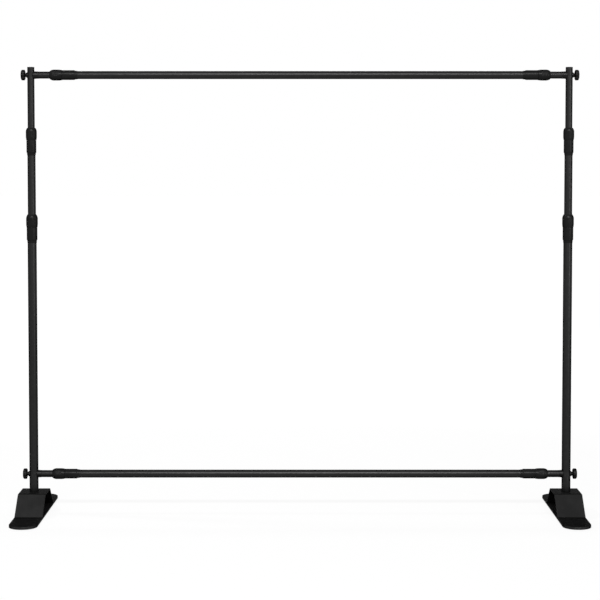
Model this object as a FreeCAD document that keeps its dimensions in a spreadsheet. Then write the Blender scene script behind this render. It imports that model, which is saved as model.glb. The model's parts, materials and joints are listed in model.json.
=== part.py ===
import FreeCAD, Part
import os

import Sketcher
from FreeCAD import Placement, Rotation, Vector

# Backdrop stand: two telescopic posts on steel feet, joined by two telescopic crossbars.
# Lengths are millimetres. X runs across the stand, Y from front to back and Z upwards, and
# the origin is on the floor, midway between the posts.

os.makedirs("parts", exist_ok=True)
doc = FreeCAD.newDocument("BackdropStand")

# The driving dimensions, one spreadsheet cell each
driving_sizes = {
    # The stand as a whole, as it stands in the photograph
    "post_spacing": 1680,
    "lower_lock_height": 854,
    "middle_post_rise": 273.5,
    "upper_post_rise": 275.5,
    "top_bar_drop": 25,
    "bottom_bar_rise": 56,
    "bar_lock_offset": 59.4,
    # Tubes
    "large_tube_diameter": 28,
    "tube_wall": 1.2,
    "tube_slide_gap": 0.3,
    "medium_tube_drop": 590,
    "small_tube_drop": 600,
    "bar_tube_start": 24,
    "bar_middle_gap": 152,
    "stud_hole_gap": 0.5,
    # Clearances between pieces
    "seat_gap": 0.05,
    "running_gap": 0.1,
    "thread_gap": 0.06,
    "end_gap": 0.3,
    "cut_overrun": 2,
    # Foot
    "pad_thickness": 1.5,
    "pad_diameter": 22,
    "pad_side_inset": 20,
    "pad_end_inset": 40,
    "plate_length": 492,
    "plate_width": 87,
    "plate_thickness": 5,
    "plate_end_flat": 1,
    "foot_height": 68,
    "sheet_thickness": 3,
    "sheet_bend_radius": 5,
    "bridge_top_length": 94,
    "bridge_base_length": 224,
    "bolt_diameter": 10,
    "bolt_hole_gap": 0.5,
    "bolt_head_across_corners": 18.5,
    "bolt_head_height": 6.4,
    "bolt_flange_diameter": 21,
    "bolt_flange_thickness": 2,
    "bolt_reach": 24,
    "insert_length": 30,
    # Twist locks, shared by both sizes
    "lock_web": 6,
    "lock_tail_length": 8,
    "lock_tail_chamfer": 1.5,
    "collet_wall": 2.2,
    "collet_tip_wall": 0.9,
    "collet_slot_width": 2,
    "collet_slot_root": 5,
    "nut_skirt_length": 9,
    "nut_nose_length": 10,
    "nut_nose_shoulder": 4,
    "nut_mouth_length": 4,
    "nut_mouth_gap": 0.4,
    "nut_ramp_length": 10,
    "collet_tip_setback": 4,
    # Large twist lock, on the lower tubes: its lengths, and how far it stands out from the tube
    "large_lock_body_length": 48.5,
    "large_lock_nut_length": 40.2,
    "large_lock_tail_wall": 0.5,
    "large_lock_tail_root_wall": 0.95,
    "large_lock_body_wall": 2.5,
    "large_lock_skirt_wall": 3,
    "large_lock_nut_wall": 4.1,
    "large_lock_shoulder_wall": 2,
    "large_lock_nose_wall": 1.2,
    # Small twist lock, on the middle tubes and the crossbars
    "small_lock_body_length": 47.5,
    "small_lock_nut_length": 38.2,
    "small_lock_tail_wall": 0.5,
    "small_lock_tail_root_wall": 1.4,
    "small_lock_body_wall": 2.7,
    "small_lock_skirt_wall": 3.2,
    "small_lock_nut_wall": 4.5,
    "small_lock_shoulder_wall": 2.8,
    "small_lock_nose_wall": 1.7,
    # Guide bushes in the hidden ends of the sliding tubes
    "bush_collar_length": 8,
    "bush_spigot_length": 16,
    "bush_bore_diameter": 14,
    # Caps on the post tops
    "cap_thickness": 2.5,
    "cap_spigot_length": 10,
    # Saddle plugs that join the bar ends to the posts
    "saddle_wrap": 4,
    "saddle_post_lip": 0.9,
    "saddle_tube_lip": 0.3,
    "saddle_spigot_length": 26,
    # Knobs and their saddle washers
    "stud_diameter": 8,
    "stud_reach": 29,
    "washer_thickness": 2,
    "washer_diameter": 17,
    "washer_wrap": 2,
    "washer_bore_gap": 0.3,
    "knob_flare_diameter": 15,
    "knob_flare_length": 1.5,
    "knob_neck_diameter": 12,
    "knob_neck_length": 5.2,
    "knob_head_diameter": 33,
    "knob_head_back_diameter": 29.6,
    "knob_head_back_length": 1.2,
    "knob_rim_length": 8.8,
    "knob_face_diameter": 26.5,
    "knob_face_rise": 1.8,
    "knob_dome_rise": 1.1,
    "knob_scallop_diameter": 10,
    "knob_scallop_depth": 1.8,
}
knob_lobe_count = 8
collet_finger_count = 4

# Places and sizes that follow from the driving dimensions
derived_sizes = {
    "post_offset": "Sizes.post_spacing / 2",
    "large_tube_bore": "Sizes.large_tube_diameter - 2 * Sizes.tube_wall",
    "medium_tube_diameter": "large_tube_bore - 2 * Sizes.tube_slide_gap",
    "medium_tube_bore": "medium_tube_diameter - 2 * Sizes.tube_wall",
    "small_tube_diameter": "medium_tube_bore - 2 * Sizes.tube_slide_gap",
    "small_tube_bore": "small_tube_diameter - 2 * Sizes.tube_wall",
    "upper_lock_height": "Sizes.lower_lock_height + Sizes.middle_post_rise",
    "post_top_height": "upper_lock_height + Sizes.upper_post_rise",
    "top_bar_height": "post_top_height - Sizes.top_bar_drop",
    "bottom_bar_height": "Sizes.foot_height + Sizes.bottom_bar_rise",
    "plate_top": "Sizes.pad_thickness + Sizes.plate_thickness",
    "flange_top": "plate_top + Sizes.sheet_thickness",
    "bridge_underside": "Sizes.foot_height - Sizes.sheet_thickness",
    "bridge_run": "(Sizes.bridge_base_length - Sizes.bridge_top_length) / 2",
    "bridge_rise": "Sizes.foot_height - flange_top",
    "bridge_slant": "sqrt(bridge_run ^ 2 + bridge_rise ^ 2)",
    "bend_shift": "Sizes.sheet_thickness * (bridge_slant - bridge_run) / bridge_rise",
    "large_lock_seat": "Sizes.large_lock_body_length - Sizes.lock_web",
    "small_lock_seat": "Sizes.small_lock_body_length - Sizes.lock_web",
    "large_lock_length": "Sizes.large_lock_body_length + Sizes.end_gap + Sizes.large_lock_nut_length",
    "small_lock_length": "Sizes.small_lock_body_length + Sizes.end_gap + Sizes.small_lock_nut_length",
    "lower_lock_nose": "Sizes.lower_lock_height + large_lock_length",
    "upper_lock_nose": "upper_lock_height + small_lock_length",
    "lower_tube_length": "Sizes.lower_lock_height + large_lock_seat - Sizes.foot_height",
    "middle_tube_bottom": "lower_lock_nose - Sizes.medium_tube_drop",
    "middle_tube_length": "upper_lock_height + small_lock_seat - middle_tube_bottom",
    "upper_tube_bottom": "upper_lock_nose - Sizes.small_tube_drop",
    "upper_tube_top": "post_top_height - Sizes.cap_thickness",
    "upper_tube_length": "upper_tube_top - upper_tube_bottom",
    "bar_lock_tail": "Sizes.bar_lock_offset + small_lock_length",
    "centre_tube_start": "bar_lock_tail - small_lock_seat",
    "centre_tube_length": "Sizes.post_spacing - 2 * centre_tube_start",
    "bar_tube_length": "post_offset - Sizes.bar_tube_start - Sizes.bar_middle_gap / 2",
    "saddle_post_diameter": "small_tube_diameter + 2 * Sizes.saddle_post_lip",
    "saddle_tube_diameter": "small_tube_diameter + 2 * Sizes.saddle_tube_lip",
}


def fill_sheet(name, cells, prefix=""):
    # One row for each size: its name in column A, its value or formula in column B
    sheet = doc.addObject("Spreadsheet::Sheet", name)
    for row, (alias, content) in enumerate(cells.items(), start=1):
        sheet.set(f"A{row}", alias)
        sheet.set(f"B{row}", prefix + str(content))
        sheet.setAlias(f"B{row}", alias)
    return sheet


sizes = fill_sheet("Sizes", driving_sizes)
places = fill_sheet("Places", derived_sizes, "=")
doc.recompute()


def value(formula):
    return float(sizes.evalExpression(formula))


# Helpers for bodies, sketches and features

def new_body(label):
    body = doc.addObject("PartDesign::Body", label)
    body.Label = label
    return body


def new_sketch(body, name, plane):
    sketch = body.newObject("Sketcher::SketchObject", name)
    origin_plane = [item for item in body.Origin.OriginFeatures if item.Role == plane][0]
    sketch.AttachmentSupport = [(origin_plane, "")]
    sketch.MapMode = "FlatFace"
    return sketch


def pin_point(sketch, geometry, point, place):
    # Fixes one point of the sketch at its distances from the sketch's origin
    for kind, formula in zip(("DistanceX", "DistanceY"), place):
        rule = sketch.addConstraint(
            Sketcher.Constraint(kind, -1, 1, geometry, point, value(formula)))
        if formula != "0":
            sketch.setExpression(f"Constraints[{rule}]", formula)


def draw_outline(sketch, points):
    # A closed outline of straight sides through the points
    corners = [Vector(value(x), value(y), 0) for x, y in points]
    first = sketch.GeometryCount
    count = len(points)
    for index in range(count):
        sketch.addGeometry(Part.LineSegment(corners[index], corners[(index + 1) % count]), False)
    for index in range(count):
        following = first + (index + 1) % count
        sketch.addConstraint(Sketcher.Constraint("Coincident", first + index, 2, following, 1))
        pin_point(sketch, first + index, 1, points[index])


def draw_circle(sketch, place, radius):
    centre = Vector(value(place[0]), value(place[1]), 0)
    circle = sketch.addGeometry(Part.Circle(centre, Vector(0, 0, 1), value(radius)), False)
    pin_point(sketch, circle, 3, place)
    rule = sketch.addConstraint(Sketcher.Constraint("Radius", circle, value(radius)))
    sketch.setExpression(f"Constraints[{rule}]", radius)


def turn(body, points):
    # Turns an outline of (radius, height) points about the body's Z axis
    sketch = new_sketch(body, body.Name + "_outline", "XZ_Plane")
    draw_outline(sketch, points)
    revolution = body.newObject("PartDesign::Revolution", body.Name + "_turned")
    revolution.Profile = sketch
    revolution.ReferenceAxis = (sketch, ["V_Axis"])
    revolution.Angle = 360
    return revolution


def pad(body, sketch, length, both_ways=False):
    feature = body.newObject("PartDesign::Pad", sketch.Name + "_pad")
    feature.Profile = sketch
    if both_ways:
        feature.SideType = "Symmetric"
    feature.setExpression("Length", length)
    return feature


def cut_through(body, sketch):
    # Cuts the sketch's outline through the whole body, both ways from the sketch
    pocket = body.newObject("PartDesign::Pocket", sketch.Name + "_cut")
    pocket.Profile = sketch
    pocket.Type = "ThroughAll"
    pocket.SideType = "Symmetric"
    return pocket


def repeat_around(body, feature, count):
    pattern = body.newObject("PartDesign::PolarPattern", feature.Name + "_pattern")
    pattern.Originals = [feature]
    z_axis = [item for item in body.Origin.OriginFeatures if item.Role == "Z_Axis"][0]
    pattern.Axis = (z_axis, [""])
    pattern.Angle = 360
    pattern.Occurrences = count
    body.Tip = pattern
    return pattern


def near(first, second):
    return abs(first - second) < value("Sizes.seat_gap")


def is_vertical(start, end):
    return near(start.x, end.x) and near(start.y, end.y) and not near(start.z, end.z)


def round_edges(body, base, radius, chosen):
    # Rounds the edges of the base feature whose two end points pass the chosen test
    doc.recompute()
    names = [f"Edge{index}" for index, edge in enumerate(base.Shape.Edges, start=1)
             if chosen(edge.Vertexes[0].Point, edge.Vertexes[-1].Point)]
    fillet = body.newObject("PartDesign::Fillet", base.Name + "_round")
    fillet.Base = (base, names)
    fillet.setExpression("Radius", radius)
    return fillet


upright = Rotation()
towards_right = Rotation(Vector(0, 1, 0), 90)
towards_left = Rotation(Vector(0, 1, 0), -90)


def set_place(item, rotation=upright, x="0", z="0"):
    item.Placement = Placement(Vector(value(x), 0, value(z)), rotation)
    if x != "0":
        item.setExpression(".Placement.Base.x", x)
    if z != "0":
        item.setExpression(".Placement.Base.z", z)


# Foot: a flat plate on rubber pads, with a bent sheet bridge welded along its top

def make_plate(label, x):
    body = new_body(label)
    sketch = new_sketch(body, label + "_outline", "XY_Plane")
    half_width = "Sizes.plate_width / 2"
    half_length = "Sizes.plate_length / 2"
    draw_outline(sketch, [
        ("-" + half_width, "-" + half_length),
        (half_width, "-" + half_length),
        (half_width, half_length),
        ("-" + half_width, half_length),
    ])
    plate = pad(body, sketch, "Sizes.plate_thickness")
    round_edges(body, plate, "Sizes.plate_width / 2 - Sizes.plate_end_flat", is_vertical)
    set_place(body, x=x, z="Sizes.pad_thickness")


def make_bridge(label, x):
    # Flat ends on the plate, slopes up to a flat top, one thickness of sheet throughout
    body = new_body(label)
    side = new_sketch(body, label + "_side", "YZ_Plane")
    half_length = "Sizes.plate_length / 2"
    top_corner = "Sizes.bridge_top_length / 2"
    crease = "Sizes.bridge_base_length / 2"
    back_half = [
        (top_corner, "Sizes.foot_height"),
        (crease, "Places.flange_top"),
        (half_length, "Places.flange_top"),
        (half_length, "Places.plate_top"),
        (crease + " - Places.bend_shift", "Places.plate_top"),
        (top_corner + " - Places.bend_shift", "Places.bridge_underside"),
    ]
    front_half = [(f"-({y})", z) for y, z in reversed(back_half)]
    draw_outline(side, back_half + front_half)
    sheet = pad(body, side, "Sizes.plate_width", both_ways=True)
    ends = round_edges(body, sheet, "Sizes.plate_width / 2 - Sizes.plate_end_flat", is_vertical)

    def bends(heights):
        # The edges across the sheet, at these heights, where it bends
        def chosen(start, end):
            across = near(start.y, end.y) and near(start.z, end.z)
            inside = abs(start.y) < value(crease) + value("Sizes.seat_gap")
            return across and inside and any(near(start.z, value(height)) for height in heights)
        return chosen

    outer = round_edges(body, ends, "Sizes.sheet_bend_radius + Sizes.sheet_thickness",
                        bends(("Sizes.foot_height", "Places.plate_top")))
    round_edges(body, outer, "Sizes.sheet_bend_radius",
                bends(("Places.bridge_underside", "Places.flange_top")))
    hole = new_sketch(body, label + "_hole", "XY_Plane")
    draw_circle(hole, ("0", "0"), "Sizes.bolt_diameter / 2 + Sizes.bolt_hole_gap")
    cut_through(body, hole)
    set_place(body, x=x)


def make_pads(label, x):
    # Four rubber discs under the plate
    discs = []
    for side in ("-", ""):
        for end in ("-", ""):
            disc = doc.addObject("Part::Cylinder", f"{label}_disc{len(discs) + 1}")
            disc.setExpression("Radius", "Sizes.pad_diameter / 2")
            disc.setExpression("Height", "Sizes.pad_thickness")
            disc.setExpression(".Placement.Base.x",
                               f"{side}(Sizes.plate_width / 2 - Sizes.pad_side_inset)")
            disc.setExpression(".Placement.Base.y",
                               f"{end}(Sizes.plate_length / 2 - Sizes.pad_end_inset)")
            discs.append(disc)
    group = doc.addObject("Part::Compound", label)
    group.Label = label
    group.Links = discs
    set_place(group, x=x)


def make_bolt(label, x):
    # Flanged hexagon bolt, pushed up through the bridge's top from below
    shank = doc.addObject("Part::Cylinder", label + "_shank")
    shank.setExpression("Radius", "Sizes.bolt_diameter / 2")
    shank.setExpression("Height", "Sizes.sheet_thickness + Sizes.bolt_reach")
    flange = doc.addObject("Part::Cylinder", label + "_flange")
    flange.setExpression("Radius", "Sizes.bolt_flange_diameter / 2")
    flange.setExpression("Height", "Sizes.bolt_flange_thickness")
    flange.setExpression(".Placement.Base.z", "-Sizes.bolt_flange_thickness")
    head = doc.addObject("Part::Prism", label + "_head")
    head.Polygon = 6
    head.setExpression("Circumradius", "Sizes.bolt_head_across_corners / 2")
    head.setExpression("Height", "Sizes.bolt_head_height")
    head.setExpression(".Placement.Base.z", "-Sizes.bolt_flange_thickness - Sizes.bolt_head_height")
    bolt = doc.addObject("Part::MultiFuse", label)
    bolt.Label = label
    bolt.Shapes = [shank, flange, head]
    set_place(bolt, x=x, z="Places.bridge_underside")


def make_insert(label, x):
    # Threaded plug in the foot of the lower tube
    body = new_body(label)
    bore = "Sizes.bolt_diameter / 2 + Sizes.thread_gap"
    outside = "Places.large_tube_bore / 2 - Sizes.seat_gap"
    turn(body, [
        (bore, "0"),
        (outside, "0"),
        (outside, "Sizes.insert_length"),
        (bore, "Sizes.insert_length"),
    ])
    set_place(body, x=x, z="Sizes.foot_height")


# Tubes, caps and bushes

def make_tube(label, diameter, bore, length, rotation=upright, x="0", z="0", stud_height=None):
    # A plain round tube, drilled across for a knob's stud if a height is given
    body = new_body(label)
    ring = new_sketch(body, label + "_ring", "XY_Plane")
    draw_circle(ring, ("0", "0"), f"{diameter} / 2")
    draw_circle(ring, ("0", "0"), f"{bore} / 2")
    pad(body, ring, length)
    if stud_height:
        hole = new_sketch(body, label + "_hole", "YZ_Plane")
        draw_circle(hole, ("0", stud_height), "Sizes.stud_diameter / 2 + Sizes.stud_hole_gap")
        cut_through(body, hole)
    set_place(body, rotation, x, z)


def make_bush(label, tube_bore, outer_bore, rotation=upright, x="0", z="0"):
    # Collar that runs inside the outer tube, on a spigot pressed into the inner tube
    body = new_body(label)
    bore = "Sizes.bush_bore_diameter / 2"
    collar = f"{outer_bore} / 2 - Sizes.running_gap"
    spigot = f"{tube_bore} / 2 - Sizes.seat_gap"
    turn(body, [
        (bore, "-Sizes.bush_collar_length"),
        (collar, "-Sizes.bush_collar_length"),
        (collar, "0"),
        (spigot, "0"),
        (spigot, "Sizes.bush_spigot_length"),
        (bore, "Sizes.bush_spigot_length"),
    ])
    set_place(body, rotation, x, z)


def make_cap(label, x):
    body = new_body(label)
    spigot = "Places.small_tube_bore / 2 - Sizes.seat_gap"
    turn(body, [
        ("0", "-Sizes.cap_spigot_length"),
        (spigot, "-Sizes.cap_spigot_length"),
        (spigot, "0"),
        ("Places.small_tube_diameter / 2", "0"),
        ("Places.small_tube_diameter / 2", "Sizes.cap_thickness"),
        ("0", "Sizes.cap_thickness"),
    ])
    set_place(body, x=x, z="Places.upper_tube_top")


# Twist locks: a body seated on the outer tube, with collet fingers, and a nut that grips them

lock_tubes = {
    "large": ("Sizes.large_tube_diameter", "Places.medium_tube_diameter"),
    "small": ("Places.medium_tube_diameter", "Places.small_tube_diameter"),
}


def make_lock_body(label, size, rotation, x, z):
    outer_tube, inner_tube = lock_tubes[size]
    lock = f"{outer_tube} / 2 + Sizes.{size}_lock_"
    body = new_body(label)
    seat = f"{outer_tube} / 2 + Sizes.seat_gap"
    grip = f"{inner_tube} / 2 + Sizes.running_gap"
    spigot = f"{inner_tube} / 2 + Sizes.collet_wall"
    tip = f"{inner_tube} / 2 + Sizes.collet_tip_wall"
    shoulder = f"Sizes.{size}_lock_body_length"
    seat_end = f"Places.{size}_lock_seat"
    ramp_start = (f"Places.{size}_lock_length - Sizes.nut_mouth_length"
                  " - Sizes.nut_ramp_length - Sizes.end_gap")
    tip_height = f"Places.{size}_lock_length - Sizes.nut_mouth_length - Sizes.collet_tip_setback"
    turn(body, [
        (seat, "0"),
        (lock + "tail_wall", "0"),
        (lock + "tail_root_wall", "Sizes.lock_tail_length"),
        (lock + "body_wall", "Sizes.lock_tail_length + Sizes.lock_tail_chamfer"),
        (lock + "body_wall", shoulder),
        (spigot, shoulder),
        (spigot, ramp_start),
        (tip, tip_height),
        (grip, tip_height),
        (grip, seat_end),
        (seat, seat_end),
    ])
    slot = new_sketch(body, label + "_slot", "YZ_Plane")
    slot_root = f"{shoulder} + Sizes.collet_slot_root"
    slot_top = f"Places.{size}_lock_length + Sizes.cut_overrun"
    draw_outline(slot, [
        ("-Sizes.collet_slot_width / 2", slot_root),
        ("Sizes.collet_slot_width / 2", slot_root),
        ("Sizes.collet_slot_width / 2", slot_top),
        ("-Sizes.collet_slot_width / 2", slot_top),
    ])
    repeat_around(body, cut_through(body, slot), collet_finger_count)
    set_place(body, rotation, x, z)


def make_lock_nut(label, size, rotation, x, z):
    outer_tube, inner_tube = lock_tubes[size]
    lock = f"{outer_tube} / 2 + Sizes.{size}_lock_"
    body = new_body(label)
    top = f"Places.{size}_lock_length"
    bottom = f"Sizes.{size}_lock_body_length + Sizes.end_gap"
    bore = f"{inner_tube} / 2 + Sizes.collet_wall + Sizes.running_gap"
    mouth = f"{inner_tube} / 2 + Sizes.nut_mouth_gap"
    turn(body, [
        (bore, bottom),
        (lock + "skirt_wall", bottom),
        (lock + "nut_wall", bottom + " + Sizes.nut_skirt_length"),
        (lock + "nut_wall", top + " - Sizes.nut_nose_length"),
        (lock + "shoulder_wall", top + " - Sizes.nut_nose_shoulder"),
        (f"{inner_tube} / 2 + Sizes.{size}_lock_nose_wall", top),
        (mouth, top),
        (mouth, top + " - Sizes.nut_mouth_length"),
        (bore, top + " - Sizes.nut_mouth_length - Sizes.nut_ramp_length"),
    ])
    set_place(body, rotation, x, z)


# Post joints: a threaded saddle plug in the bar's end, a knob and its saddle washer

def hug_post(body, post_diameter):
    # Hollows the end that faces the post to the post's own curve
    hollow = new_sketch(body, body.Name + "_hollow", "YZ_Plane")
    draw_circle(hollow, ("0", "0"), f"{post_diameter} / 2 + Sizes.seat_gap")
    cut_through(body, hollow)


def make_saddle(label, post_diameter, rotation, x, z):
    body = new_body(label)
    bore = "Sizes.stud_diameter / 2 + Sizes.thread_gap"
    face = f"{post_diameter} / 2 - Sizes.saddle_wrap"
    spigot = "Places.small_tube_bore / 2 - Sizes.seat_gap"
    spigot_end = "Sizes.bar_tube_start + Sizes.saddle_spigot_length"
    turn(body, [
        (bore, face),
        ("Places.saddle_post_diameter / 2", face),
        ("Places.saddle_tube_diameter / 2", "Sizes.bar_tube_start"),
        (spigot, "Sizes.bar_tube_start"),
        (spigot, spigot_end),
        (bore, spigot_end),
    ])
    hug_post(body, post_diameter)
    set_place(body, rotation, x, z)


def make_washer(label, post_diameter, rotation, x, z):
    body = new_body(label)
    bore = "Sizes.stud_diameter / 2 + Sizes.washer_bore_gap"
    inner_face = f"{post_diameter} / 2 - Sizes.washer_wrap"
    outer_face = f"{post_diameter} / 2 + Sizes.washer_thickness"
    turn(body, [
        (bore, inner_face),
        ("Sizes.washer_diameter / 2", inner_face),
        ("Sizes.washer_diameter / 2", outer_face),
        (bore, outer_face),
    ])
    hug_post(body, post_diameter)
    set_place(body, rotation, x, z)


def make_knob(label, post_diameter, rotation, x, z):
    # Moulded head with a scalloped rim, on a steel stud that runs through the post
    body = new_body(label)
    seat = f"{post_diameter} / 2 + Sizes.washer_thickness + Sizes.seat_gap"
    neck_end = seat + " + Sizes.knob_neck_length"
    rim_start = neck_end + " + Sizes.knob_head_back_length"
    rim_end = rim_start + " + Sizes.knob_rim_length"
    face = rim_end + " + Sizes.knob_face_rise"
    turn(body, [
        ("0", "-Sizes.stud_reach"),
        ("Sizes.stud_diameter / 2", "-Sizes.stud_reach"),
        ("Sizes.stud_diameter / 2", seat),
        ("Sizes.knob_flare_diameter / 2", seat),
        ("Sizes.knob_neck_diameter / 2", seat + " + Sizes.knob_flare_length"),
        ("Sizes.knob_neck_diameter / 2", neck_end),
        ("Sizes.knob_head_back_diameter / 2", neck_end),
        ("Sizes.knob_head_diameter / 2", rim_start),
        ("Sizes.knob_head_diameter / 2", rim_end),
        ("Sizes.knob_face_diameter / 2", face),
        ("0", face + " + Sizes.knob_dome_rise"),
    ])
    # The first hollow is half a lobe round, so that one lobe points straight up
    scallop = new_sketch(body, label + "_scallop", "XY_Plane")
    distance = ("((Sizes.knob_head_diameter + Sizes.knob_scallop_diameter) / 2"
                " - Sizes.knob_scallop_depth)")
    half_lobe = 180 / knob_lobe_count
    draw_circle(scallop, (f"{distance} * cos({half_lobe})", f"{distance} * sin({half_lobe})"),
                "Sizes.knob_scallop_diameter / 2")
    repeat_around(body, cut_through(body, scallop), knob_lobe_count)
    set_place(body, rotation, x, z)


# One post on its foot, for each side of the stand

def make_post(side, sign, outward):
    x = sign + "Places.post_offset"
    make_pads(side + "_foot_pads", x)
    make_plate(side + "_base_plate", x)
    make_bridge(side + "_foot_bridge", x)
    make_bolt(side + "_post_bolt", x)
    make_insert(side + "_lower_tube_insert", x)

    make_tube(side + "_lower_tube", "Sizes.large_tube_diameter", "Places.large_tube_bore",
              "Places.lower_tube_length", x=x, z="Sizes.foot_height",
              stud_height="Sizes.bottom_bar_rise")
    make_lock_body(side + "_lower_lock_body", "large", upright, x, "Sizes.lower_lock_height")
    make_lock_nut(side + "_lower_lock_nut", "large", upright, x, "Sizes.lower_lock_height")

    make_tube(side + "_middle_tube", "Places.medium_tube_diameter", "Places.medium_tube_bore",
              "Places.middle_tube_length", x=x, z="Places.middle_tube_bottom")
    make_bush(side + "_middle_tube_bush", "Places.medium_tube_bore", "Places.large_tube_bore",
              x=x, z="Places.middle_tube_bottom")
    make_lock_body(side + "_upper_lock_body", "small", upright, x, "Places.upper_lock_height")
    make_lock_nut(side + "_upper_lock_nut", "small", upright, x, "Places.upper_lock_height")

    make_tube(side + "_upper_tube", "Places.small_tube_diameter", "Places.small_tube_bore",
              "Places.upper_tube_length", x=x, z="Places.upper_tube_bottom",
              stud_height="Places.top_bar_height - Places.upper_tube_bottom")
    make_bush(side + "_upper_tube_bush", "Places.small_tube_bore", "Places.medium_tube_bore",
              x=x, z="Places.upper_tube_bottom")
    make_cap(side + "_top_cap", x)

    for level, diameter in post_diameters.items():
        height = f"Places.{level}_bar_height"
        make_washer(f"{side}_{level}_knob_washer", diameter, outward, x, height)
        make_knob(f"{side}_{level}_knob", diameter, outward, x, height)


# One crossbar: a centre tube with a twist lock and a sliding end tube at each side

def make_bar(level):
    height = f"Places.{level}_bar_height"
    bar = level + "_bar"
    make_tube(bar + "_centre_tube", "Places.medium_tube_diameter", "Places.medium_tube_bore",
              "Places.centre_tube_length", towards_right,
              "Places.centre_tube_start - Places.post_offset", height)
    for side, sign, away, inward, outward in sides:
        post = sign + "Places.post_offset"
        end = f"{bar}_{side}"
        lock_x = f"{post} {away} Places.bar_lock_tail"
        make_lock_body(end + "_lock_body", "small", outward, lock_x, height)
        make_lock_nut(end + "_lock_nut", "small", outward, lock_x, height)
        make_saddle(end + "_saddle", post_diameters[level], inward, post, height)
        make_tube(end + "_end_tube", "Places.small_tube_diameter", "Places.small_tube_bore",
                  "Places.bar_tube_length", inward, f"{post} {away} Sizes.bar_tube_start", height)
        make_bush(end + "_bush", "Places.small_tube_bore", "Places.medium_tube_bore", outward,
                  f"{post} {away} (Sizes.bar_tube_start + Places.bar_tube_length)", height)


post_diameters = {"top": "Places.small_tube_diameter", "bottom": "Sizes.large_tube_diameter"}
# Side, sign of its post's place, sign of the way to the middle, and the two turns
sides = (
    ("left", "-", "+", towards_right, towards_left),
    ("right", "", "-", towards_left, towards_right),
)
for side, sign, away, inward, outward in sides:
    make_post(side, sign, outward)
for level in post_diameters:
    make_bar(level)
doc.recompute()

# Every object must be sound before anything is written
for item in doc.Objects:
    if "Invalid" in item.State or "Error" in item.State:
        raise RuntimeError(f"{item.Label} could not be worked out: {item.State}")

subparts = [item for item in doc.Objects
            if item.TypeId == "PartDesign::Body" or item.Label.endswith(("_foot_pads", "_post_bolt"))]
for item in subparts:
    if item.Shape.isNull() or not item.Shape.isValid():
        raise RuntimeError(f"{item.Label} has no sound shape")
for item in subparts:
    item.Shape.exportStep(f"parts/{item.Label}.step")
    box = item.Shape.BoundBox
    print(f"{item.Label}: {len(item.Shape.Solids)} solids, {item.Shape.Volume:.1f} mm3, "
          f"x {box.XMin:.1f} to {box.XMax:.1f}, y {box.YMin:.1f} to {box.YMax:.1f}, "
          f"z {box.ZMin:.1f} to {box.ZMax:.1f}")
print(len(subparts), "sub-parts written")
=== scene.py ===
import json
import math

import bmesh
import bpy
import numpy as np
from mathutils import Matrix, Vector


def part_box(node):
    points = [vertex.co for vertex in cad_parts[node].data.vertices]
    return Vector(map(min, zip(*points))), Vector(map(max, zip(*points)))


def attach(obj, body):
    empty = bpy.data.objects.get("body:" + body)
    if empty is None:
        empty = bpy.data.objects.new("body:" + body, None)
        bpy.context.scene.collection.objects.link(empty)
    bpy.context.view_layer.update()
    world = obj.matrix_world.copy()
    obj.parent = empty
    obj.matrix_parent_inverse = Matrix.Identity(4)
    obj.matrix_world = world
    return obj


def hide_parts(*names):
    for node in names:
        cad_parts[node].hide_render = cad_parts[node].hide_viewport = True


# A backdrop stand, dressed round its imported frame.
# The dictionaries hold millimetres where no note gives another unit. The meshes hold metres, in
# the frame's own place.

mm = 0.001
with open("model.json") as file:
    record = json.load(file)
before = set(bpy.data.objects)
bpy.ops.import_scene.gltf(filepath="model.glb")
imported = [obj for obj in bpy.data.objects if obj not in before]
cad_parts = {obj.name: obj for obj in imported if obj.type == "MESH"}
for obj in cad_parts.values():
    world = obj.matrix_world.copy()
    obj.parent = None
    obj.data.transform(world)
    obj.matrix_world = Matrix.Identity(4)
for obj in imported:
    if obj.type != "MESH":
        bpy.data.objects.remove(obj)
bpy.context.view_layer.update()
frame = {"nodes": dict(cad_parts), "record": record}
print("frame loaded:", len(frame["nodes"]), "nodes")


# Camera

cameraPlan = {
    "frameWidth": 600,       # pixels
    "focalLength": 1618.6,   # pixels
    "sensorWidth": 36,
    "distance": 5069,        # in front of the posts' plane
    "height": 1125,
    "pitch": 2.75,           # degrees down
    "shift": -0.11,          # share of the frame, the window moved down
    "clipEnd": 100,          # metres
}


def makeCamera(plan):
    data = bpy.data.cameras.new("viewCamera")
    data.sensor_width = plan["sensorWidth"]
    data.lens = plan["sensorWidth"] * plan["focalLength"] / plan["frameWidth"]
    data.shift_y = plan["shift"]
    data.clip_end = plan["clipEnd"]
    camera = bpy.data.objects.new("viewCamera", data)
    camera.location = (0, -plan["distance"] * mm, plan["height"] * mm)
    camera.rotation_euler = (math.radians(90 - plan["pitch"]), 0, 0)
    bpy.context.scene.collection.objects.link(camera)
    bpy.context.scene.camera = camera


makeCamera(cameraPlan)
print("camera ready")


# Shader maths: one wrapped socket, which adds, subtracts and multiplies as a number does

def tint(level):
    # A grey of that linear level
    return (level, level, level, 1)


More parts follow.
